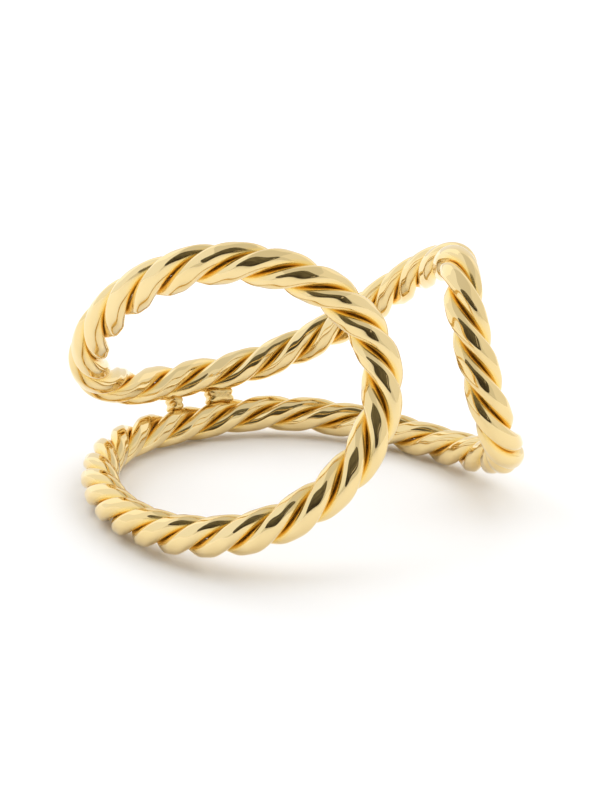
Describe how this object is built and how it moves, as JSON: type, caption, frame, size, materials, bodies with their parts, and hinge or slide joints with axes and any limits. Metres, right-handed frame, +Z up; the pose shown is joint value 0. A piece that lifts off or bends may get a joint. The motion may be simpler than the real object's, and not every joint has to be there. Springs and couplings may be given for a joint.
{
  "type": "rope twist ring",
  "caption": "Open-work finger ring made of one loop of polished golden rope, bent into a round bow and a square bow that face each other over a gap.",
  "frame": {"origin": "centre of the ring's bounding box, on the surface it rests on", "axes": "+Z up from the surface; the gap between the two bows faces -Y and the soldered shank is towards +Y; the round bow is on the -X side"},
  "size_m": [0.0208, 0.0216, 0.0142],
  "materials": {
    "polished_gold": "polished yellow gold",
    "solder": "polished yellow gold solder, a shade paler"
  },
  "bodies": {
    "root": {"strand_1": "polished_gold", "strand_2": "polished_gold", "strand_3": "polished_gold", "solder_1": "solder", "solder_2": "solder"}
  },
  "joints": []
}
